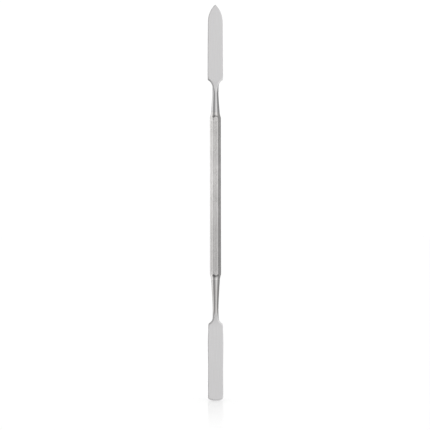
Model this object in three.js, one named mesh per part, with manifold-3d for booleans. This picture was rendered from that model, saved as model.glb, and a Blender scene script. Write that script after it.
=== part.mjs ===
// Double-ended cuticle pusher: an octagonal handle bar with a pointed blade on one end
// and a square-ended blade on the other. Each blade is forged on the end of a round
// neck, and the neck's tang is brazed into a socket bored into the handle.
//
// Millimetres. Z runs along the tool with the pointed blade up, and the origin is on
// the tool's axis at the middle of the handle. X is across the blades and Y through them.
// A "reach" is a distance from the origin along the tool, towards either end.

import * as THREE from "three";
import { mergeVertices } from "three/addons/utils/BufferGeometryUtils.js";
import Module from "manifold-3d";

const wasm = await Module();
wasm.setup();

// ---- Driving dimensions ----

const HANDLE_LENGTH = 74.3;           // with its two turned ends
const HANDLE_ACROSS_FLATS = 4.9;
const HANDLE_SIDES = 8;
const POINTED_TURNED_LENGTH = 2.7;    // from the full octagon down to the pointed blade's neck
const SQUARE_TURNED_LENGTH = 2.9;
const TURNED_END_HOLLOW = 1.55;       // 1 would be a straight cone
const NECK_ROOT_RADIUS = 1.97;        // where a neck leaves the handle

const TANG_RADIUS = 1.15;
const TANG_LENGTH = 9;
const TANG_CHAMFER = 0.3;
const BRAZE_GAP = 0.1;                // all round the tang
const SOCKET_END_ROOM = 0.6;          // between the tang's end and the socket's floor
const DRILL_POINT_DEPTH = 0.7;        // conical floor of the socket

const POINTED = {
  tipReach: 84.65,
  neckHollow: 1.3,                    // 1 would be a straight cone
  waistReach: 45.2,                   // the neck's narrowest place
  waistRadius: 1.43,
  shoulderReach: 48.3,                // where the blade begins to widen
  shoulderRadius: 1.47,
  forgedFrom: 44.8,                   // where the forged faces begin on the round neck
  forgedTo: 52.5,                     // where they reach the blade's full flatness
  rootHalfThickness: 0.5,
  tipHalfThickness: 0.32,
};

const POINTED_OUTLINE = {
  shoulderArcRadius: 3.4,
  shoulderArcEnd: 51.33,
  heelCorner: 1.6,                    // length of the eased corner below the heel
  heelReach: 53.4,
  heelHalfWidth: 3.43,                // the blade is widest here
  sideHalfWidth: 3.38,                // pulls the side out, halfway to the base
  baseHalfWidth: 3.26,                // where the point's arcs begin
  pointArcRadius: 10.7,
  noseTrim: 0.05,                     // taken off the very point
};

const SQUARE = {
  tipReach: 90.2,
  neckHollow: 1.4,
  waistReach: 50.4,
  waistRadius: 1.3,
  shoulderReach: 53.7,
  shoulderRadius: 1.38,
  forgedFrom: 47.8,
  forgedTo: 58,
  rootHalfThickness: 0.5,
  tipHalfThickness: 0.28,
};

const SQUARE_OUTLINE = {
  shoulderHalfWidth: 3.22,
  shoulderEnd: 57,
  hollowShare: 0.68,                  // of the shoulder's curve; the rest rounds over to the side
  bellyHalfWidth: 3.42,               // slight swell behind the shoulder
  bellyReach: 65,
  middleHalfWidth: 3.29,
  middleReach: 76,
  cornerHalfWidth: 3.35,
  cornerStart: 2.4,                   // back from the end
  cornerRadius: 0.95,
  endArcRadius: 9.6,
};

const SATIN_STEEL = { color: 0xb9babb, roughness: 0.38, metalness: 1 };
const CUT_STEEL = { color: 0xa9abac, roughness: 0.55, metalness: 1 };

const AROUND = 64;                    // sides of every turned surface
const ARC_STEPS = 10;
const NECK_STEPS = 14;
const STOCK_HALF_WIDTH = 6;           // wider than the finished tool
const WELD = 1e-4;

// ---- Derived dimensions ----

const HANDLE_CORNER_RADIUS = HANDLE_ACROSS_FLATS / 2 / Math.cos(Math.PI / HANDLE_SIDES);
const HANDLE_END = HANDLE_LENGTH / 2;

// ---- Solids ----

// A closed geometry becomes a solid once its shared vertices are merged.
function solidOf(geometry) {
  const bare = geometry.index ? geometry.toNonIndexed() : geometry.clone();
  bare.deleteAttribute("normal");
  bare.deleteAttribute("uv");
  const merged = mergeVertices(bare, WELD);
  return new wasm.Manifold(new wasm.Mesh({
    numProp: 3,
    vertProperties: new Float32Array(merged.attributes.position.array),
    triVerts: new Uint32Array(merged.index.array),
  }));
}

function meshOf(solid, name, look) {
  const cut = solid.getMesh();
  const geometry = new THREE.BufferGeometry();
  geometry.setAttribute("position", new THREE.BufferAttribute(cut.vertProperties, 3));
  geometry.setIndex(new THREE.BufferAttribute(cut.triVerts, 1));
  geometry.computeVertexNormals();
  const mesh = new THREE.Mesh(geometry, new THREE.MeshStandardMaterial(look));
  mesh.name = name;
  return mesh;
}

// Turns a profile of [radius, z] points about Z. It runs upwards, from the axis to the axis.
function turned(profile) {
  const points = profile.map(([radius, z]) => new THREE.Vector2(radius, z));
  const geometry = new THREE.LatheGeometry(points, AROUND);
  geometry.rotateX(Math.PI / 2);
  return solidOf(geometry);
}

// Extrudes a shape drawn across and along the tool, evenly to both sides of it.
function extruded(shape, turn) {
  const depth = 2 * STOCK_HALF_WIDTH;
  const geometry = new THREE.ExtrudeGeometry(shape, { depth, bevelEnabled: false });
  geometry.translate(0, 0, -depth / 2);
  geometry.rotateX(Math.PI / 2);
  geometry.rotateZ(turn);
  return solidOf(geometry);
}

// A closed shape from its right half, given from the top down, and that half's mirror image.
function mirrored(half) {
  const left = half.filter(([width]) => width > 0).reverse().map(([width, reach]) => [-width, reach]);
  return new THREE.Shape([...half, ...left].map(([x, y]) => new THREE.Vector2(x, y)));
}

// Points of an arc about a centre, as [half width, reach].
function arc(centreX, centreReach, radius, from, to) {
  const points = [];
  for (let step = 0; step <= ARC_STEPS; step += 1) {
    const angle = from + (to - from) * step / ARC_STEPS;
    points.push([centreX + radius * Math.cos(angle), centreReach + radius * Math.sin(angle)]);
  }
  return points;
}

// ---- Handle ----

function octagonBar() {
  const corners = [];
  for (let side = 0; side < HANDLE_SIDES; side += 1) {
    const angle = (side + 0.5) * 2 * Math.PI / HANDLE_SIDES;
    const x = HANDLE_CORNER_RADIUS * Math.cos(angle);
    const y = HANDLE_CORNER_RADIUS * Math.sin(angle);
    corners.push(new THREE.Vector2(x, y));
  }
  const shape = new THREE.Shape(corners);
  const geometry = new THREE.ExtrudeGeometry(shape, { depth: 2 * HANDLE_END, bevelEnabled: false });
  geometry.translate(0, 0, -HANDLE_END);
  return solidOf(geometry);
}

// One end of the envelope: it hollows in as it narrows from the octagon's corners to the neck.
function turnedEnd(length) {
  const profile = [[STOCK_HALF_WIDTH, HANDLE_END - length]];
  for (let step = 0; step <= ARC_STEPS; step += 1) {
    const left = 1 - step / ARC_STEPS;
    const swell = (HANDLE_CORNER_RADIUS - NECK_ROOT_RADIUS) * left ** TURNED_END_HOLLOW;
    profile.push([NECK_ROOT_RADIUS + swell, HANDLE_END - length * left]);
  }
  profile.push([0, HANDLE_END]);
  return profile;
}

// What the lathe leaves: wide along the octagon, and the two turned ends.
function turningEnvelope() {
  return turned([...flipped(turnedEnd(SQUARE_TURNED_LENGTH)), ...turnedEnd(POINTED_TURNED_LENGTH)]);
}

function flipped(profile) {
  return profile.map(([radius, reach]) => [radius, -reach]).reverse();
}

function socket() {
  const radius = TANG_RADIUS + BRAZE_GAP;
  const floor = HANDLE_END - TANG_LENGTH - SOCKET_END_ROOM;
  const mouth = HANDLE_END + 1;
  return [[0, floor - DRILL_POINT_DEPTH], [radius, floor], [radius, mouth], [0, mouth]];
}

function handle() {
  const bar = octagonBar().intersect(turningEnvelope());
  const upperBored = bar.subtract(turned(socket()));
  const bothBored = upperBored.subtract(turned(flipped(socket())));
  return meshOf(bothBored, "handle", CUT_STEEL);
}

// ---- Working ends, drawn pointing up ----

// Eases from 0 to 1, level at both ends.
function ease(t) {
  return t * t * (3 - 2 * t);
}

// The neck draws in from the handle to its waist, then swells a little to the shoulder.
function neckRadius(end, reach) {
  if (reach <= end.waistReach) {
    const left = (end.waistReach - reach) / (end.waistReach - HANDLE_END);
    return end.waistRadius + (NECK_ROOT_RADIUS - end.waistRadius) * left ** end.neckHollow;
  }
  const along = (reach - end.waistReach) / (end.shoulderReach - end.waistReach);
  return end.waistRadius + (end.shoulderRadius - end.waistRadius) * ease(along);
}

function tangAndNeck(end) {
  const tangEnd = HANDLE_END - TANG_LENGTH;
  const profile = [
    [0, tangEnd],
    [TANG_RADIUS - TANG_CHAMFER, tangEnd],
    [TANG_RADIUS, tangEnd + TANG_CHAMFER],
    [TANG_RADIUS, HANDLE_END],
  ];
  for (let step = 0; step < NECK_STEPS; step += 1) {
    const reach = HANDLE_END + (end.shoulderReach - HANDLE_END) * step / NECK_STEPS;
    profile.push([neckRadius(end, reach), reach]);
  }
  return profile;
}

// The space between the forging dies, seen from the side: it narrows from the round neck
// to the blade's root, then tapers to the blade's end.
function betweenDies(end) {
  const half = [[end.tipHalfThickness, end.tipReach], [end.rootHalfThickness, end.forgedTo]];
  const rise = neckRadius(end, end.forgedFrom) - end.rootHalfThickness;
  for (let step = 1; step <= NECK_STEPS; step += 1) {
    const back = step / NECK_STEPS;
    const reach = end.forgedTo + (end.forgedFrom - end.forgedTo) * back;
    half.push([end.rootHalfThickness + rise * ease(back), reach]);
  }
  half.push([STOCK_HALF_WIDTH, end.forgedFrom]);
  half.push([STOCK_HALF_WIDTH, 0]);
  return mirrored(half);
}

// Half of the pointed blade's outline, from the neck to the tip.
function pointedHalf() {
  const o = POINTED_OUTLINE;
  const hollowCentre = POINTED.shoulderRadius + o.shoulderArcRadius;
  const hollowTurn = Math.asin((o.shoulderArcEnd - POINTED.shoulderReach) / o.shoulderArcRadius);
  const hollow = arc(hollowCentre, POINTED.shoulderReach, o.shoulderArcRadius, Math.PI, Math.PI - hollowTurn);
  const arcCentre = o.baseHalfWidth - o.pointArcRadius;
  const pointTurn = Math.acos(-arcCentre / o.pointArcRadius);
  const baseReach = POINTED.tipReach + o.noseTrim - o.pointArcRadius * Math.sin(pointTurn);
  const noseTurn = pointTurn - 3 * o.noseTrim / o.pointArcRadius;
  const point = arc(arcCentre, baseReach, o.pointArcRadius, 0, noseTurn);
  const side = new THREE.QuadraticBezierCurve(
    new THREE.Vector2(o.heelHalfWidth, o.heelReach),
    new THREE.Vector2(o.sideHalfWidth, (o.heelReach + baseReach) / 2),
    new THREE.Vector2(o.baseHalfWidth, baseReach),
  );
  const sidePoints = side.getPoints(ARC_STEPS).map((p) => [p.x, p.y]);
  const heel = [o.heelHalfWidth, o.heelReach - o.heelCorner];
  return [...hollow, heel, ...sidePoints, ...point.slice(1), [0, POINTED.tipReach]];
}

// Half of the square blade's outline, from the neck to the middle of its end. Its shoulder
// is two arcs, hollow then round, that meet at the same slope.
function squareHalf() {
  const o = SQUARE_OUTLINE;
  const run = o.shoulderEnd - SQUARE.shoulderReach;
  const rise = o.shoulderHalfWidth - SQUARE.shoulderRadius;
  const turn = 2 * Math.atan(rise / run);
  const bends = run / Math.sin(turn);
  const hollowBend = bends * o.hollowShare;
  const roundBend = bends - hollowBend;
  const hollowCentre = SQUARE.shoulderRadius + hollowBend;
  const hollow = arc(hollowCentre, SQUARE.shoulderReach, hollowBend, Math.PI, Math.PI - turn);
  const round = arc(o.shoulderHalfWidth - roundBend, o.shoulderEnd, roundBend, -turn, 0);
  const side = new THREE.SplineCurve([
    new THREE.Vector2(o.shoulderHalfWidth, o.shoulderEnd),
    new THREE.Vector2(o.bellyHalfWidth, o.bellyReach),
    new THREE.Vector2(o.middleHalfWidth, o.middleReach),
    new THREE.Vector2(o.cornerHalfWidth, SQUARE.tipReach - o.cornerStart),
  ]);
  const sidePoints = side.getPoints(2 * ARC_STEPS).map((p) => [p.x, p.y]);
  const cornerX = o.cornerHalfWidth - o.cornerRadius;
  const endCentre = SQUARE.tipReach - o.endArcRadius;
  const lean = Math.asin(cornerX / (o.endArcRadius - o.cornerRadius));
  const cornerReach = endCentre + (o.endArcRadius - o.cornerRadius) * Math.cos(lean);
  const corner = arc(cornerX, cornerReach, o.cornerRadius, 0, Math.PI / 2 - lean);
  const end = arc(0, endCentre, o.endArcRadius, Math.PI / 2 - lean, Math.PI / 2).slice(1, -1);
  const middle = [0, SQUARE.tipReach];
  return [...hollow, ...round.slice(1), ...sidePoints.slice(1), ...corner, ...end, middle];
}

// A working end is turned to its outline, then forged flat between the dies.
function workingEnd(end, half, name) {
  const stock = turned([...tangAndNeck(end), ...half]);
  const forged = stock.intersect(extruded(betweenDies(end), Math.PI / 2));
  return meshOf(forged, name, SATIN_STEEL);
}

const pointedBlade = workingEnd(POINTED, pointedHalf(), "pointed_blade");
const squareBlade = workingEnd(SQUARE, squareHalf(), "square_blade");
squareBlade.rotation.x = Math.PI;

const tool = new THREE.Group();
tool.add(handle(), pointedBlade, squareBlade);

export default tool;
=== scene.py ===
"""The looks of a double-ended steel cuticle pusher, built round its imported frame.

Lengths are millimetres until a mesh is made, and metres in the materials and on the stage.
Z runs along the tool with the pointed blade up, X is across the blades, and -Y is the front.
A "reach" is a distance from the middle of the handle towards either end.
"""

import math

import bmesh
import bpy
import numpy as np
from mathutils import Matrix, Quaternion, Vector


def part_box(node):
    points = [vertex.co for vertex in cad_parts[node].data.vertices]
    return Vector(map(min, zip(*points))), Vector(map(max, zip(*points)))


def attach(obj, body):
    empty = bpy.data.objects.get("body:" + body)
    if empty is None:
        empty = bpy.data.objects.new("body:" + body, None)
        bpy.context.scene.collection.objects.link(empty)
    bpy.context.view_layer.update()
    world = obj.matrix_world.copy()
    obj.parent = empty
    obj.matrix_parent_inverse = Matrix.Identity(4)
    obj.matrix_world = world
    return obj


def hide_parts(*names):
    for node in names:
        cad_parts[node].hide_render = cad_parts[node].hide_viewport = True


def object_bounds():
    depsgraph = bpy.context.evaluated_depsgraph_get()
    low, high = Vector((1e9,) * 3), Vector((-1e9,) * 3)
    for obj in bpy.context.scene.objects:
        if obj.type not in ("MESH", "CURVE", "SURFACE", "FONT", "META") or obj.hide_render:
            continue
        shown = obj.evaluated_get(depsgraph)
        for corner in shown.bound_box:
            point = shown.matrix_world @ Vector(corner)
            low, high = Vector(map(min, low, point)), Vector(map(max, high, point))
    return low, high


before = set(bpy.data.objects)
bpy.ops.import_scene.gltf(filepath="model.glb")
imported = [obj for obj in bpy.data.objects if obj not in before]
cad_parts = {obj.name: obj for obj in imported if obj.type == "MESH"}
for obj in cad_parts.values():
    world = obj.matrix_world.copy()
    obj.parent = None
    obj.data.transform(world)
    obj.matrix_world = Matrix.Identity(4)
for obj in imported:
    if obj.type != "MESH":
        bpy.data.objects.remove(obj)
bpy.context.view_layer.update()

MM = 0.001

# ---- Sizes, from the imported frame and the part's drawing ----

HANDLE_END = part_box("handle")[1][2] / MM
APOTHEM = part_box("handle")[1][0] / MM
SIDES = 8
POINTED_TURNED = 2.7              # length of the bar that is turned down to each blade's neck
SQUARE_TURNED = 2.9
TURNED_HOLLOW = 1.55              # 1 would be a straight cone, and more is hollower
NECK_ROOT = 1.97                  # radius of a neck where it leaves the bar
TANG_RADIUS = 1.15
TANG_LENGTH = 9.0
TANG_CHAMFER = 0.3
SOCKET_RADIUS = 1.25
SOCKET_DEPTH = 9.6
DRILL_POINT = 0.7
SEAM_BREAK = 0.05                 # bevel of the bar and of the neck where they meet

FACET_HALF = APOTHEM * math.tan(math.pi / SIDES)
CORNER_RADIUS = APOTHEM / math.cos(math.pi / SIDES)
BROKEN_CORNER = 2.61              # radius that the bar's corners are eased to

# ---- Handle texture: crossed grooves that leave diamond lands, drawn on a grid of cells ----

DIAMOND = 0.6                     # tip to tip, both ways
PITCH = 8                         # the same in cells
HALF_PITCH = PITCH // 2
LAND = HALF_PITCH - 1             # cells from a land's middle to its corners, one short of the tip
CELL = DIAMOND / PITCH
GROOVE_DEPTH = 0.022
ACROSS = PITCH + HALF_PITCH       # cells from a facet's middle to the texture's edge
ALONG = PITCH * 56                # cells from the handle's middle to the texture's end
EASED_COLUMNS = (0.062, 0.030)    # extra columns of points, in from a facet's edge
PLAIN_ROWS = 4                    # rows of points between the texture and the turning
TURNED_ROWS = 44
PLAIN_STOP = 0.1                  # how far short of the turning the plain rows stop
TURNED_START = 0.03               # and the turned rows start
TURNED_SOFTNESS = 0.03            # of the line where the turning meets the flats
FLAT_SHARE = 0.999                # a point that keeps this much of its radius isn't turned
BRIGHT_LENGTH = 0.15              # over which the turned steel becomes bright
PLAIN_DULLNESS = 0.35             # of the untextured borders, where a groove's floor is 1


def smooth_min(a, b, soft):
    """The smaller of two values, rounded over where they meet."""
    h = np.clip(0.5 + 0.5 * (b - a) / soft, 0.0, 1.0)
    return b * (1 - h) + a * h - soft * h * (1 - h)


def eased(t):
    """A number that goes smoothly from 0 to 1 as t does."""
    t = np.clip(t, 0.0, 1.0)
    return t * t * (3 - 2 * t)


def make_mesh(name, points, faces, sharp_angle=math.radians(28)):
    """A mesh object from points in mm, smooth except where its faces meet at a sharp angle."""
    mesh = bpy.data.meshes.new(name)
    mesh.from_pydata([tuple(p) for p in np.asarray(points) * MM], [], faces)
    mesh.validate()
    bm = bmesh.new()
    bm.from_mesh(mesh)
    bmesh.ops.recalc_face_normals(bm, faces=bm.faces)
    for face in bm.faces:
        face.smooth = True
    for edge in bm.edges:
        edge.smooth = edge.calc_face_angle(0.0) < sharp_angle
    bm.to_mesh(mesh)
    bm.free()
    piece = bpy.data.objects.new(name, mesh)
    bpy.context.scene.collection.objects.link(piece)
    return piece


def add_attribute(piece, name, values):
    """A number at each of the mesh's points, for its material to read."""
    layer = piece.data.attributes.new(name, "FLOAT", "POINT")
    layer.data.foreach_set("value", np.asarray(values, dtype=np.float32))


# ---- Handle ----

def turned_length(height):
    return POINTED_TURNED if height > 0 else SQUARE_TURNED


def handle_limit(height):
    """The radius that the turning and the broken corners leave at a height on the bar."""
    left = min((HANDLE_END - abs(height)) / turned_length(height), 1.0)
    return min(NECK_ROOT + (CORNER_RADIUS - NECK_ROOT) * left ** TURNED_HOLLOW, BROKEN_CORNER)


class HandleSkin:
    """Points of the handle, each known by its facet, its place across it and its height."""

    def __init__(self):
        self.points = []
        self.grooves = []
        self.polish = []
        self.known = {}
        self.faces = []

    def point(self, facet, across, height, depth=0.0, radius=None):
        """The number of a point, which is on the bar's surface unless a radius is given."""
        if across > FACET_HALF - 1e-6:
            facet = (facet + 1) % SIDES
            across = -FACET_HALF
        place = (across, height, radius)
        key = (facet, *(size if size is None else round(size, 4) for size in place))
        if key in self.known:
            return self.known[key]
        flat_radius = math.hypot(APOTHEM, across)
        if radius is None:
            radius = float(smooth_min(flat_radius, handle_limit(height), TURNED_SOFTNESS))
        scale = radius / flat_radius
        angle = facet * 2 * math.pi / SIDES
        out = APOTHEM * scale - depth
        side = across * scale
        x = out * math.cos(angle) - side * math.sin(angle)
        y = out * math.sin(angle) + side * math.cos(angle)
        self.known[key] = len(self.points)
        self.points.append((x, y, height))
        border = abs(across) > (ACROSS + 0.5) * CELL or abs(height) > (ALONG + 0.5) * CELL
        # share of a groove's depth at each point, by which the handle's material darkens as painted shade and
        # roughens; the borders get the plain dullness
        self.grooves.append(PLAIN_DULLNESS if border else depth / GROOVE_DEPTH)
        turned = (abs(height) - HANDLE_END + turned_length(height)) / BRIGHT_LENGTH
        self.polish.append(min(max(turned, 0.0), 1.0) if radius < flat_radius * FLAT_SHARE else 0.0)
        return self.known[key]

    def patch(self, facet, left, right, low, high, direction=1):
        """A face between two columns and two rows, which are (height, radius)."""
        corners = [(left, low), (right, low), (right, high), (left, high)]
        face = [self.point(facet, across, direction * height, 0.0, radius)
                for across, (height, radius) in corners]
        self.faces.append(face[::direction])


def texture_point(skin, facet, i, j):
    """A point on the textured flat, at the groove's depth where two grooves cross."""
    crossing = (i % PITCH == HALF_PITCH and j % PITCH == 0) or (i % PITCH == 0 and j % PITCH == HALF_PITCH)
    inside = abs(i) < ACROSS and abs(j) < ALONG
    depth = GROOVE_DEPTH if crossing and inside else 0.0
    return skin.point(facet, i * CELL, j * CELL, depth)


def diamond_corners(skin, facet, ci, cj, reach):
    """Points at a reach from a diamond's middle each way, or None past the texture's edge."""
    corners = []
    for a, b in ((1, 0), (0, 1), (-1, 0), (0, -1)):
        inside = abs(ci + a) <= ACROSS and abs(cj + b) <= ALONG
        corners.append(texture_point(skin, facet, ci + reach * a, cj + reach * b) if inside else None)
    return corners


def add_diamond(skin, facet, ci, cj):
    """One land and the four groove sides round it, cut off at the texture's edges."""
    lands = diamond_corners(skin, facet, ci, cj, LAND)
    tips = diamond_corners(skin, facet, ci, cj, HALF_PITCH)
    skin.faces.append([land for land in lands if land is not None])
    for n in range(4):
        m = (n + 1) % 4
        if lands[n] is not None and lands[m] is not None:
            skin.faces.append([lands[n], tips[n], tips[m], lands[m]])


def facet_columns():
    """Places across a facet where rows of plain surface have points, from edge to edge."""
    cells = [i for i in range(-ACROSS, ACROSS + 1) if i % PITCH in (LAND, HALF_PITCH, HALF_PITCH + 1)]
    right = [FACET_HALF - inward for inward in EASED_COLUMNS] + [FACET_HALF]
    return [-place for place in reversed(right)] + [i * CELL for i in cells] + right


def add_handle_end(skin, columns, direction):
    """The plain, turned and bored end of the bar, from the texture to the drill's point."""
    octagon_end = HANDLE_END - turned_length(direction)
    plain = np.linspace(ALONG * CELL, octagon_end - PLAIN_STOP, PLAIN_ROWS)
    turning = np.linspace(octagon_end - TURNED_START, HANDLE_END - SEAM_BREAK, TURNED_ROWS)
    socket_floor = HANDLE_END - SOCKET_DEPTH
    rows = [(height, None) for height in plain.tolist() + turning.tolist()]
    rows += [(HANDLE_END, NECK_ROOT - SEAM_BREAK), (HANDLE_END, SOCKET_RADIUS), (socket_floor, SOCKET_RADIUS)]
    for low, high in zip(rows, rows[1:]):
        for facet in range(SIDES):
            for left, right in zip(columns, columns[1:]):
                skin.patch(facet, left, right, low, high, direction)
    drill_point = len(skin.points)
    skin.points.append((0.0, 0.0, direction * (socket_floor - DRILL_POINT)))
    skin.grooves.append(0.0)
    skin.polish.append(0.0)
    for facet in range(SIDES):
        for left, right in zip(columns, columns[1:]):
            a = skin.point(facet, left, direction * socket_floor, 0.0, SOCKET_RADIUS)
            b = skin.point(facet, right, direction * socket_floor, 0.0, SOCKET_RADIUS)
            skin.faces.append([a, b, drill_point][::direction])


def build_handle():
    skin = HandleSkin()
    columns = facet_columns()
    margin_size = len(EASED_COLUMNS) + 2
    margins = [columns[:margin_size], columns[-margin_size:]]
    side_rows = [(j * CELL, None) for j in range(-ALONG, ALONG + 1) if j % PITCH in (0, 1, PITCH - 1)]
    for facet in range(SIDES):
        for cj in range(-ALONG, ALONG + 1, HALF_PITCH):
            last = PITCH if cj % PITCH == 0 else ACROSS
            for ci in range(-last, last + 1, PITCH):
                add_diamond(skin, facet, ci, cj)
        for margin in margins:
            for left, right in zip(margin, margin[1:]):
                for low, high in zip(side_rows, side_rows[1:]):
                    skin.patch(facet, left, right, low, high)
    for direction in (1, -1):
        add_handle_end(skin, columns, direction)
    piece = make_mesh("textured_handle", skin.points, skin.faces)
    add_attribute(piece, "groove", skin.grooves)
    add_attribute(piece, "polish", skin.polish)
    return piece


# ---- Working ends ----

# Reaches and half widths of each end. The neck narrows to its waist and swells to the shoulder,
# where the blade's outline starts. The dies flatten it between forged_from and forged_to, and
# past the heel its edges are the blade's sides. Half thickness goes from root_half to tip_half.
POINTED = {
    "tip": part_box("pointed_blade")[1][2] / MM,
    "neck_hollow": 1.3,
    "waist": 45.2,
    "waist_radius": 1.43,
    "shoulder": 48.3,
    "shoulder_radius": 1.47,
    "forged_from": 44.8,
    "forged_to": 52.5,
    "heel": 51.3,
    "root_half": 0.5,
    "tip_half": 0.32,
}

SQUARE = {
    "tip": -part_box("square_blade")[0][2] / MM,
    "neck_hollow": 1.4,
    "waist": 50.4,
    "waist_radius": 1.3,
    "shoulder": 53.7,
    "shoulder_radius": 1.38,
    "forged_from": 47.8,
    "forged_to": 58.0,
    "heel": 56.2,
    "root_half": 0.5,
    "tip_half": 0.28,
}

SHOULDER_RIM = 0.75               # width over which a face falls away to the shoulder's edge
SHOULDER_FALL = 0.33
RIGHT_SHARE = 0.35                # of that fall on the shoulder's right side, which is crisper
SIDE_RIM = 0.28                   # the same along the blade's sides
SIDE_FALL = 0.12
END_RIM = 0.6                     # and round the square blade's end
END_FALL = 0.08
END_ZONE = 2.6                    # length of the square blade that counts as its end
RIM_FADE = 1.6                    # length over which one rim passes into the next
RIM_CURVE = 1.6                   # 1 would make the fall straight, and more rounds its top
FORGED_CORNER = 0.3               # softness between a forged face and the round neck
FORGED_CORNER_LEAD = 0.5          # how far before the forging it starts
FORGED_CORNER_FADE = 3.0          # length over which it comes in
BLADE_CORNER = 0.08               # softness of the blade's own edges
SHARPEST = 0.002                  # softness that no edge goes below
UNFORGED = 9.0                    # beyond any surface: the neck is left round

HALF_COLUMNS = 40                 # columns of points from the middle of a blade to its edge
NECK_EDGE_POINTS = 30             # along the neck's edge, which the rims are measured from
NECK_ROWS = 36
FINE_MARGIN = 1.0                 # how far the shoulder's fine rows go on past it at either end
FINE_STEP = 0.075
BLADE_STEP = 0.3
POINT_LENGTH = 9.0                # of the tip, whose rows are closer and closer
POINT_GAP = 0.01                  # from the last of those rows to the tip itself
POINT_ROWS = 60
END_LENGTH = 4.0                  # of the square blade, over which its rows take on the end's bow
END_ROWS = 45
POLISH_FADE = 6.0                 # length round the shoulder where bright steel becomes satin


def arc(cx, cz, radius, start, stop, steps=24):
    angles = np.linspace(start, stop, steps + 1)
    return [(cx + radius * math.cos(a), cz + radius * math.sin(a)) for a in angles]


def bezier(a, b, c, steps=24):
    t = np.linspace(0.0, 1.0, steps + 1)[:, None]
    curve = (1 - t) ** 2 * np.array(a) + 2 * t * (1 - t) * np.array(b) + t ** 2 * np.array(c)
    return [tuple(p) for p in curve]


def pointed_outline():
    """Half width and reach along the pointed blade's edge, from the neck to the tip."""
    shoulder = POINTED["shoulder"]
    shoulder_arc = 3.4
    shoulder_arc_end = 51.33
    heel_rounding = 0.3
    heel = 53.4
    heel_width = 3.43
    middle_width = 3.38
    base_width = 3.26
    point_arc = 10.7
    arcs_cross = 0.05             # the point's two arcs would meet this far past the tip
    blunting = 0.014              # angle of arc that is left out at the tip
    shoulder_turn = math.asin((shoulder_arc_end - shoulder) / shoulder_arc)
    hollow_centre = POINTED["shoulder_radius"] + shoulder_arc
    hollow = arc(hollow_centre, shoulder, shoulder_arc, math.pi, math.pi - shoulder_turn)
    point_turn = math.acos((point_arc - base_width) / point_arc)
    base = POINTED["tip"] + arcs_cross - point_arc * math.sin(point_turn)
    corner = bezier(hollow[-1], (heel_width, hollow[-1][1] + heel_rounding), (heel_width, heel), 10)
    side = bezier((heel_width, heel), (middle_width, (heel + base) / 2), (base_width, base))
    point = arc(base_width - point_arc, base, point_arc, 0.0, point_turn - blunting, 40)
    return hollow + corner[1:] + side[1:] + point[1:] + [(0.0, POINTED["tip"])]


def square_outline():
    """The square blade's edge from the neck to the start of its end, and the end's own curve."""
    shoulder = SQUARE["shoulder"]
    tip = SQUARE["tip"]
    shoulder_width = 3.22
    shoulder_end = 57.0
    hollow_share = 0.68           # of the shoulder's two arcs, which bend opposite ways
    belly = (3.42, 65.0)
    waist = (3.29, 76.0)
    corner_width = 3.35
    corner_start = 2.4            # back from the tip
    corner_radius = 0.95
    end_arc = 9.6
    rise = shoulder_width - SQUARE["shoulder_radius"]
    run = shoulder_end - shoulder
    turn = 2 * math.atan(rise / run)
    bends = run / math.sin(turn)
    hollow_bend = hollow_share * bends
    round_bend = bends - hollow_bend
    hollow_centre = SQUARE["shoulder_radius"] + hollow_bend
    hollow = arc(hollow_centre, shoulder, hollow_bend, math.pi, math.pi - turn)
    rounded = arc(shoulder_width - round_bend, shoulder_end, round_bend, -turn, 0.0)
    stops = [(shoulder_width, shoulder_end), belly, waist, (corner_width, tip - corner_start)]
    side = []
    for (width, low), (next_width, high) in zip(stops, stops[1:]):
        for step in np.linspace(0.0, 1.0, 20, endpoint=False):
            side.append((width + (next_width - width) * float(eased(step)), low + (high - low) * step))
    side.append(stops[-1])
    inner = corner_width - corner_radius
    end_centre = tip - end_arc
    lean = math.asin(inner / (end_arc - corner_radius))
    corner_height = end_centre + (end_arc - corner_radius) * math.cos(lean)
    corner = arc(inner, corner_height, corner_radius, 0.0, math.pi / 2 - lean, 20)
    bow = arc(0.0, end_centre, end_arc, math.pi / 2 - lean, math.pi / 2, 30)
    return hollow + rounded[1:] + side[1:], corner + bow[1:]


def neck_radius(end, reach):
    left = np.clip((end["waist"] - reach) / (end["waist"] - HANDLE_END), 0.0, 1.0)
    drawn = end["waist_radius"] + (NECK_ROOT - end["waist_radius"]) * left ** end["neck_hollow"]
    swell = eased((reach - end["waist"]) / (end["shoulder"] - end["waist"]))
    return drawn + (end["shoulder_radius"] - end["waist_radius"]) * swell


def face_half(end, reach):
    """Half the distance between the two forged faces: dished behind the blade, then tapered."""
    dished = 1.0 - eased((reach - end["forged_from"]) / (end["forged_to"] - end["forged_from"]))
    taper = np.clip((reach - end["forged_to"]) / (end["tip"] - end["forged_to"]), 0.0, 1.0)
    blade = end["root_half"] + (end["tip_half"] - end["root_half"]) * taper
    forged = blade + (neck_radius(end, end["forged_from"]) - end["root_half"]) * dished
    return np.where(reach < end["forged_from"], UNFORGED, forged)


def distance_to(outline, x, z):
    """How far each place is from the blade's edge, measured across the face."""
    edge = np.array(outline)
    a = edge[:-1][None, :, :]
    d = (edge[1:] - edge[:-1])[None, :, :]
    p = np.stack([np.abs(x).ravel(), z.ravel()], axis=1)[:, None, :]
    t = np.clip(((p - a) * d).sum(2) / np.maximum((d * d).sum(2), 1e-12), 0.0, 1.0)
    gap = p - (a + t[:, :, None] * d)
    return np.sqrt((gap * gap).sum(2)).min(1).reshape(x.shape)


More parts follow.
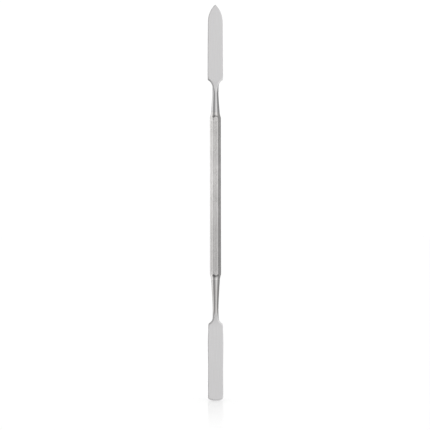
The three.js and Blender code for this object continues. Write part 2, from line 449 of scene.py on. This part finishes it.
def depth_at(end, edge, x, z):
    """Half thickness: the turned stock, cut by the forged faces, which fall away at their rims."""
    beyond = eased((z - end["heel"]) / RIM_FADE)
    rim = SHOULDER_RIM + (SIDE_RIM - SHOULDER_RIM) * beyond
    onset = eased((z - end["forged_from"]) / (end["shoulder"] - end["forged_from"]))
    shoulder_fall = SHOULDER_FALL * np.where(x > 0.0, RIGHT_SHARE, 1.0)
    fall = (shoulder_fall + (SIDE_FALL - shoulder_fall) * beyond) * onset
    if end is SQUARE:
        near_end = eased((z - end["tip"] + END_ZONE) / RIM_FADE)
        rim = rim + (END_RIM - SIDE_RIM) * near_end
        fall = fall + (END_FALL - SIDE_FALL) * near_end
    outward = np.clip(1.0 - distance_to(edge, x, z) / rim, 0.0, 1.0)
    face = face_half(end, z) - fall * outward ** RIM_CURVE
    widest = np.abs(x).max(axis=1)[:, None]
    stock = np.sqrt(np.maximum(widest ** 2 - x ** 2, 0.0))
    corner = FORGED_CORNER * eased((z - end["forged_from"] + FORGED_CORNER_LEAD) / FORGED_CORNER_FADE)
    corner = corner + (BLADE_CORNER - corner) * eased((z - end["shoulder"]) / RIM_FADE)
    return smooth_min(stock, face, np.maximum(corner, SHARPEST))


def tang_rows(spread):
    """Half sections of the tang, from its chamfered end to the step at the neck's root."""
    tang_end = HANDLE_END - TANG_LENGTH
    heights = np.array([tang_end, tang_end + TANG_CHAMFER, HANDLE_END, HANDLE_END])
    radii = np.array([TANG_RADIUS - TANG_CHAMFER, TANG_RADIUS, TANG_RADIUS, NECK_ROOT - SEAM_BREAK])
    x = radii[:, None] * spread[None, :]
    y = np.sqrt(np.maximum(radii[:, None] ** 2 - x ** 2, 0.0))
    z = np.repeat(heights[:, None], len(spread), axis=1)
    return x, y, z


def blade_rows(end, side, spread, last, closing):
    """Places on a neck and blade: rows of points up to the last reach, then the closing ones."""
    fine_from = end["forged_from"] - FINE_MARGIN
    fine_to = end["heel"] + FINE_MARGIN
    neck = np.linspace(HANDLE_END + SEAM_BREAK, fine_from, NECK_ROWS, endpoint=False)
    shoulder = np.arange(fine_from, fine_to, FINE_STEP)
    blade = np.arange(fine_to, last, BLADE_STEP)
    heights = np.concatenate([neck, shoulder, blade, closing])
    on_blade = np.interp(heights, side[:, 1], side[:, 0])
    widths = np.where(heights < end["shoulder"], neck_radius(end, heights), on_blade)
    return widths[:, None] * spread[None, :], np.repeat(heights[:, None], len(spread), axis=1)


def bowed_rows(side, curve, spread, start):
    """Rows across the square blade's end, which go from straight to the end's own curve."""
    corner_width, corner_reach = curve[0]
    final = np.interp(-np.abs(side[-1, 0] * spread), -curve[:, 0], curve[:, 1])
    steps = 1.0 - np.linspace(1.0, 0.0, END_ROWS + 1)[1:] ** 2
    edge_reaches = start + (corner_reach - start) * steps
    widths = np.interp(edge_reaches, np.append(side[:, 1], corner_reach), np.append(side[:, 0], corner_width))
    return widths[:, None] * spread[None, :], start + (final - start)[None, :] * steps[:, None]


def ring_faces(rows, around):
    """Faces between each ring of points and the next."""
    faces = []
    for row in range(rows - 1):
        for column in range(around):
            a = row * around + column
            b = row * around + (column + 1) % around
            faces.append([a, b, b + around, a + around])
    return faces


def working_end(name, end, outline, end_curve, direction):
    """One working end as rings of points: tang, neck, forged shoulder and blade."""
    spread = np.sin(np.linspace(-math.pi / 2, math.pi / 2, 2 * HALF_COLUMNS + 1))
    side = np.array(outline)
    neck_reaches = np.linspace(HANDLE_END, end["shoulder"], NECK_EDGE_POINTS)[:-1]
    edge = list(zip(neck_radius(end, neck_reaches), neck_reaches)) + outline + end_curve[1:]
    if end_curve:
        last = end["tip"] - END_LENGTH
        x, z = blade_rows(end, side, spread, last, [])
        end_x, end_z = bowed_rows(side, np.array(end_curve), spread, last)
        x = np.vstack([x, end_x])
        z = np.vstack([z, end_z])
    else:
        closer = np.linspace(math.sqrt(POINT_LENGTH), math.sqrt(POINT_GAP), POINT_ROWS) ** 2
        x, z = blade_rows(end, side, spread, end["tip"] - POINT_LENGTH, end["tip"] - closer)
    y = depth_at(end, edge, x, z)
    y[:, [0, -1]] = 0.0
    if end_curve:
        y[-1, :] = 0.0

    x, y, z = (np.vstack(halves) for halves in zip(tang_rows(spread), (x, y, z)))
    front = np.stack([x, -y, z], axis=2)
    back = np.stack([x, y, z], axis=2)[:, -2:0:-1]
    rings = np.concatenate([front, back], axis=1)
    rows, around = rings.shape[:2]
    tang_middle = rows * around
    tip = tang_middle + 1
    middles = [[0.0, 0.0, HANDLE_END - TANG_LENGTH], [0.0, 0.0, end["tip"]]]
    points = np.vstack([rings.reshape(-1, 3), middles])
    faces = ring_faces(rows, around)
    faces += [[(column + 1) % around, column, tang_middle] for column in range(around)]
    last_ring = (rows - 1) * around
    if end_curve:
        # the last ring lies flat along the end's edge, so its two halves are one line of points
        merged = list(range(len(points)))
        for column in range(1, 2 * HALF_COLUMNS):
            merged[last_ring + around - column] = last_ring + column
        faces = [[merged[v] for v in face] for face in faces]
    else:
        faces += [[last_ring + column, last_ring + (column + 1) % around, tip] for column in range(around)]
    used = sorted({v for face in faces for v in face})
    renumber = {v: n for n, v in enumerate(used)}
    faces = [[renumber[v] for v in face] for face in faces]
    points = points[used]
    if direction < 0:
        points = points * np.array([1.0, -1.0, -1.0])
    piece = make_mesh(name, points, faces)
    past_shoulder = np.abs(points[:, 2]) - end["shoulder"]
    add_attribute(piece, "polish", 1.0 - eased((past_shoulder + POLISH_FADE / 2) / POLISH_FADE))
    return piece


# ---- Materials ----

# The lowest neck colour is a painted dark, warm reflection, laid over the lower neck.
LOW_NECK_REFLECTION_COLOUR = (0.60, 0.584, 0.576)
NECK_COLOUR = (0.665, 0.66, 0.662)
BLADE_COLOUR = (0.897, 0.888, 0.892)
NECK_PLACE = 0.3                  # of the neck's colour on the way from the lowest to the blade's
NECK_CLOUD = 0.084                # how far along that way the neck's cloudiness goes
# heights over which the painted reflection comes in on the lower neck
LOW_NECK_REFLECTION_HEIGHTS = (-0.042, -0.034)
HANDLE_DARKEST = (0.56, 0.549, 0.541)
HANDLE_LIGHTEST = (0.96, 0.944, 0.93)
# heights over which painted shade comes in below the handle's middle
LOWER_SHADE_HEIGHTS = (-0.016, -0.004)
FINE_BUMP = 0.00001               # height of the finest scratches and grain
FLOOR_GLOSS = 0.48
GLOSS_REACH = 0.15                # how far from the tool the floor's gloss fades out


def node_material(name):
    material = bpy.data.materials.new(name)
    material.use_nodes = True
    tree = material.node_tree
    tree.nodes.clear()
    output = tree.nodes.new("ShaderNodeOutputMaterial")
    return material, tree, output


def steel_material(name):
    material, tree, output = node_material(name)
    shader = tree.nodes.new("ShaderNodeBsdfPrincipled")
    shader.inputs["Metallic"].default_value = 1.0
    tree.links.new(shader.outputs["BSDF"], output.inputs["Surface"])
    return material, tree, shader


def feed(tree, socket, value):
    """Set a socket to a plain number, or link another socket to it."""
    if isinstance(value, (int, float)):
        socket.default_value = value
    else:
        tree.links.new(value, socket)


def math_node(tree, operation, *values):
    """A maths node. Each value may be a socket or a plain number."""
    node = tree.nodes.new("ShaderNodeMath")
    node.operation = operation
    for socket, value in zip(node.inputs, values):
        feed(tree, socket, value)
    return node.outputs["Value"]


def stretched_noise(tree, scale, stretch, detail=4.0):
    """Noise in object space, drawn out along the tool when stretch is below 1 in Z."""
    place = tree.nodes.new("ShaderNodeTexCoord")
    mapping = tree.nodes.new("ShaderNodeMapping")
    mapping.inputs["Scale"].default_value = stretch
    noise = tree.nodes.new("ShaderNodeTexNoise")
    noise.inputs["Scale"].default_value = scale
    noise.inputs["Detail"].default_value = detail
    tree.links.new(place.outputs["Object"], mapping.inputs["Vector"])
    tree.links.new(mapping.outputs["Vector"], noise.inputs["Vector"])
    return noise.outputs["Fac"]


def ranged(tree, value, low, high, from_low=0.3, from_high=0.7):
    """A value stretched to go from low to high. The from values suit most of a noise's range."""
    node = tree.nodes.new("ShaderNodeMapRange")
    node.inputs["From Min"].default_value = from_low
    node.inputs["From Max"].default_value = from_high
    node.inputs["To Min"].default_value = low
    node.inputs["To Max"].default_value = high
    tree.links.new(value, node.inputs["Value"])
    return node.outputs["Result"]


def mixed(tree, factor, a, b):
    """A number that goes from a to b with the factor. Each may be a socket or a plain number."""
    node = tree.nodes.new("ShaderNodeMix")
    node.data_type = "FLOAT"
    feed(tree, node.inputs["Factor"], factor)
    feed(tree, node.inputs["A"], a)
    feed(tree, node.inputs["B"], b)
    return node.outputs["Result"]


def attribute(tree, name):
    node = tree.nodes.new("ShaderNodeAttribute")
    node.attribute_name = name
    return node.outputs["Fac"]


def height_on(tree):
    """The height on the tool, 0 at the handle's middle."""
    place = tree.nodes.new("ShaderNodeTexCoord")
    split = tree.nodes.new("ShaderNodeSeparateXYZ")
    tree.links.new(place.outputs["Object"], split.inputs["Vector"])
    return split.outputs["Z"]


def ramp(tree, value, stops):
    """A colour that follows a value through the stops, which are (place from 0 to 1, colour)."""
    node = tree.nodes.new("ShaderNodeValToRGB")
    tree.links.new(value, node.inputs["Fac"])
    elements = node.color_ramp.elements
    while len(elements) < len(stops):
        elements.new(0.5)
    for element, (place, colour) in zip(elements, stops):
        element.position = place
        element.color = (*colour, 1.0)
    return node.outputs["Color"]


def bumped(tree, height, strength):
    node = tree.nodes.new("ShaderNodeBump")
    node.inputs["Strength"].default_value = strength
    node.inputs["Distance"].default_value = FINE_BUMP
    tree.links.new(height, node.inputs["Height"])
    return node.outputs["Normal"]


def blade_steel():
    """Stainless steel: satin with fine lengthwise polishing lines on the blade, bright on the neck.

    The neck is darker than the blade, and the lower neck is darker and warmer again with a painted dark, warm
    reflection.
    """
    material, tree, shader = steel_material("blade_steel")
    lines = stretched_noise(tree, 900.0, (6.0, 6.0, 0.12))
    cloud = stretched_noise(tree, 60.0, (1.0, 1.0, 0.5), 3.0)
    polish = attribute(tree, "polish")
    satin = ranged(tree, lines, 0.35, 0.43)
    bright = ranged(tree, cloud, 0.11, 0.17)
    tree.links.new(mixed(tree, polish, satin, bright), shader.inputs["Roughness"])
    # painted dark, warm reflection on the lower neck, below these heights
    low_neck_reflection = ranged(tree, height_on(tree), 1.0, 0.0, *LOW_NECK_REFLECTION_HEIGHTS)
    upper_tint = ranged(tree, cloud, NECK_PLACE, NECK_PLACE + NECK_CLOUD)
    neck_tint = mixed(tree, low_neck_reflection, upper_tint, ranged(tree, cloud, 0.0, NECK_CLOUD))
    blade_tint = mixed(tree, 0.5, ranged(tree, lines, 0.58, 1.0), ranged(tree, cloud, 0.825, 1.0))
    tint = mixed(tree, polish, blade_tint, neck_tint)
    colours = [(0.0, LOW_NECK_REFLECTION_COLOUR), (NECK_PLACE, NECK_COLOUR), (1.0, BLADE_COLOUR)]
    tree.links.new(ramp(tree, tint, colours), shader.inputs["Base Color"])
    tree.links.new(bumped(tree, lines, 0.06), shader.inputs["Normal"])
    return material


def handle_steel():
    """Stainless steel with crossed grooves: matte, duller in the grooves and darkened in them with painted
    shade, bright where it is turned.

    Its lands are blotched and smudged, and a little darker below the handle's middle with painted shade.
    """
    material, tree, shader = steel_material("handle_steel")
    grain = stretched_noise(tree, 2600.0, (1.0, 1.0, 1.0), 3.0)
    blotch = stretched_noise(tree, 420.0, (1.0, 1.0, 0.6), 3.0)
    smudge = stretched_noise(tree, 150.0, (1.0, 1.0, 0.8), 2.0)
    groove = attribute(tree, "groove")
    polish = attribute(tree, "polish")
    matte = mixed(tree, groove, ranged(tree, blotch, 0.24, 0.34), 0.45)
    tree.links.new(mixed(tree, polish, matte, 0.15), shader.inputs["Roughness"])
    # painted shade: the lands are a little darker below the handle's middle
    lower_shade = ranged(tree, height_on(tree), 0.46, 1.0, *LOWER_SHADE_HEIGHTS)
    land = mixed(tree, lower_shade, 0.0, ranged(tree, blotch, 0.5, 1.0))
    land = mixed(tree, ranged(tree, smudge, 0.0, 0.4), land, 0.0)
    # the grooves' darker colour is painted shade
    tint = mixed(tree, polish, mixed(tree, groove, land, 0.1), 0.45)
    colours = [(0.0, HANDLE_DARKEST), (1.0, HANDLE_LIGHTEST)]
    tree.links.new(ramp(tree, tint, colours), shader.inputs["Base Color"])
    tree.links.new(bumped(tree, grain, 0.15), shader.inputs["Normal"])
    return material


def floor_white():
    """A pale sheet, glossiest round the foot of the tool, that mirrors only at a low angle."""
    material, tree, output = node_material("floor_white")
    matte = tree.nodes.new("ShaderNodeBsdfDiffuse")
    sheen = tree.nodes.new("ShaderNodeBsdfGlossy")
    sheen.inputs["Color"].default_value = (1.0, 1.0, 1.0, 1.0)
    mottle = stretched_noise(tree, 3.0, (1.0, 1.0, 1.0), 2.0)
    whites = ramp(tree, mottle, [(0.0, (0.97, 0.97, 0.97)), (1.0, (0.98, 0.98, 0.98))])
    tree.links.new(whites, matte.inputs["Color"])
    tree.links.new(ranged(tree, mottle, 0.05, 0.06), sheen.inputs["Roughness"])
    place = tree.nodes.new("ShaderNodeTexCoord")
    flat = tree.nodes.new("ShaderNodeVectorMath")
    flat.operation = "MULTIPLY"
    flat.inputs[1].default_value = (1.0, 1.0, 0.0)
    tree.links.new(place.outputs["Object"], flat.inputs[0])
    reach = tree.nodes.new("ShaderNodeVectorMath")
    reach.operation = "LENGTH"
    tree.links.new(flat.outputs["Vector"], reach.inputs[0])
    fade = ranged(tree, reach.outputs["Value"], FLOOR_GLOSS, 0.0, 0.0, GLOSS_REACH)
    low_angle = tree.nodes.new("ShaderNodeFresnel")
    low_angle.inputs["IOR"].default_value = 1.45
    layered = tree.nodes.new("ShaderNodeMixShader")
    tree.links.new(math_node(tree, "MULTIPLY", fade, low_angle.outputs["Fac"]), layered.inputs["Fac"])
    tree.links.new(matte.outputs["BSDF"], layered.inputs[1])
    tree.links.new(sheen.outputs["BSDF"], layered.inputs[2])
    tree.links.new(layered.outputs["Shader"], output.inputs["Surface"])
    return material


# ---- Stage ----

FLOOR_HALF = 8.0
FLOOR_SQUARES = 8                 # along each side


def build_floor(height):
    spots = np.linspace(-FLOOR_HALF, FLOOR_HALF, FLOOR_SQUARES + 1)
    points = [(x, y, height) for y in spots for x in spots]
    row = FLOOR_SQUARES + 1
    corners = [j * row + i for j in range(FLOOR_SQUARES) for i in range(FLOOR_SQUARES)]
    faces = [[corner, corner + 1, corner + row + 1, corner + row] for corner in corners]
    mesh = bpy.data.meshes.new("floor")
    mesh.from_pydata(points, [], faces)
    floor = bpy.data.objects.new("floor", mesh)
    bpy.context.scene.collection.objects.link(floor)
    floor.data.materials.append(floor_white())
    floor.visible_glossy = False      # the steel reflects the studio below it, not the bare floor


# Studio brightness round the tool, by bearing in degrees: 0 is the front, 90 is +X.
STUDIO_RING = [
    (-180, 1.05), (-152, 1.05), (-144, 0.85), (-108, 0.89), (-99, 1.2), (-84, 1.18), (-70, 0.42),
    (-12, 0.40), (3, 0.91), (12, 0.945), (25, 1.0), (46, 0.97), (58, 0.38), (110, 0.35), (144, 0.34),
    (152, 1.05), (180, 1.05),
]
# The same by height, from straight down at -1 to straight up at 1, as a share of the ring.
STUDIO_HEIGHT = [
    (-1.0, 0.85), (-0.84, 0.85), (-0.74, 0.28), (-0.52, 0.28), (-0.43, 1.0), (0.52, 1.02),
    (0.58, 0.36), (0.73, 0.36), (0.84, 0.9), (1.0, 0.9),
]
BACKGROUND = 1.04


def panels(tree, value, stops, lowest, highest):
    """Grey levels that follow a value, which goes from the lowest to the highest, through stops."""
    share = ranged(tree, value, 0.0, 1.0, lowest, highest)
    return ramp(tree, share, stops)


def build_world():
    """A white background, and round it the panels that only reflections see."""
    world = bpy.data.worlds.new("studio")
    bpy.context.scene.world = world
    world.use_nodes = True
    tree = world.node_tree
    tree.nodes.clear()
    output = tree.nodes.new("ShaderNodeOutputWorld")
    direction = tree.nodes.new("ShaderNodeTexCoord")
    split = tree.nodes.new("ShaderNodeSeparateXYZ")
    tree.links.new(direction.outputs["Generated"], split.inputs["Vector"])
    forward = math_node(tree, "MULTIPLY", split.outputs["Y"], -1.0)
    bearing = math_node(tree, "ARCTAN2", split.outputs["X"], forward)
    studio = tree.nodes.new("ShaderNodeBackground")
    ring = [((degrees + 180) / 360, (level,) * 3) for degrees, level in STUDIO_RING]
    heights = [((z + 1) / 2, (level,) * 3) for z, level in STUDIO_HEIGHT]
    tree.links.new(panels(tree, bearing, ring, -math.pi, math.pi), studio.inputs["Color"])
    tree.links.new(panels(tree, split.outputs["Z"], heights, -1.0, 1.0), studio.inputs["Strength"])
    white = tree.nodes.new("ShaderNodeBackground")
    white.inputs["Color"].default_value = (1.0, 1.0, 1.0, 1.0)
    white.inputs["Strength"].default_value = BACKGROUND
    rays = tree.nodes.new("ShaderNodeLightPath")
    choose = tree.nodes.new("ShaderNodeMixShader")
    tree.links.new(rays.outputs["Is Glossy Ray"], choose.inputs["Fac"])
    tree.links.new(white.outputs["Background"], choose.inputs[1])
    tree.links.new(studio.outputs["Background"], choose.inputs[2])
    tree.links.new(choose.outputs["Shader"], output.inputs["Surface"])


CAMERA_TURN = math.radians(-2.0)
CAMERA_ROLL = math.radians(-0.06)
LENS = 200.0
SENSOR = 36.0
FAR_CLIP = 50.0
FRAME_HEIGHT = 1.087              # as a share of the tool's length
AIM_BELOW_MIDDLE = 0.0316         # the same
AIM_ACROSS = -0.00019


def build_camera(low, high):
    """A long lens, level with the tool a little below its middle and turned slightly to its left."""
    tool_length = high[2] - low[2]
    distance = tool_length * FRAME_HEIGHT * LENS / SENSOR
    middle = (low[2] + high[2]) / 2
    target = Vector((AIM_ACROSS, 0.0, middle - AIM_BELOW_MIDDLE * tool_length))
    away = Vector((math.sin(CAMERA_TURN), -math.cos(CAMERA_TURN), 0.0))
    rolled = away.to_track_quat("Z", "Y") @ Quaternion((0.0, 0.0, 1.0), CAMERA_ROLL)
    data = bpy.data.cameras.new("camera")
    data.lens = LENS
    data.sensor_width = SENSOR
    data.clip_end = FAR_CLIP
    camera = bpy.data.objects.new("camera", data)
    camera.location = target + away * distance
    camera.rotation_euler = rolled.to_euler()
    bpy.context.scene.collection.objects.link(camera)
    bpy.context.scene.camera = camera


# ---- Assembly ----

scene = bpy.context.scene
scene.view_settings.view_transform = "Standard"
scene.view_settings.look = "None"

handle = build_handle()
handle.data.materials.append(handle_steel())
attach(handle, "root")
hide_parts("handle")

steel = blade_steel()
square_side, square_end = square_outline()
ends = [
    ("pointed_blade_forging", "pointed_blade", POINTED, pointed_outline(), [], 1),
    ("square_blade_forging", "square_blade", SQUARE, square_side, square_end, -1),
]
for name, node, sizes, outline, end_curve, direction in ends:
    piece = working_end(name, sizes, outline, end_curve, direction)
    piece.data.materials.append(steel)
    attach(piece, "root")
    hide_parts(node)

low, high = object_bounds()
build_floor(low[2])
build_world()
build_camera(low, high)
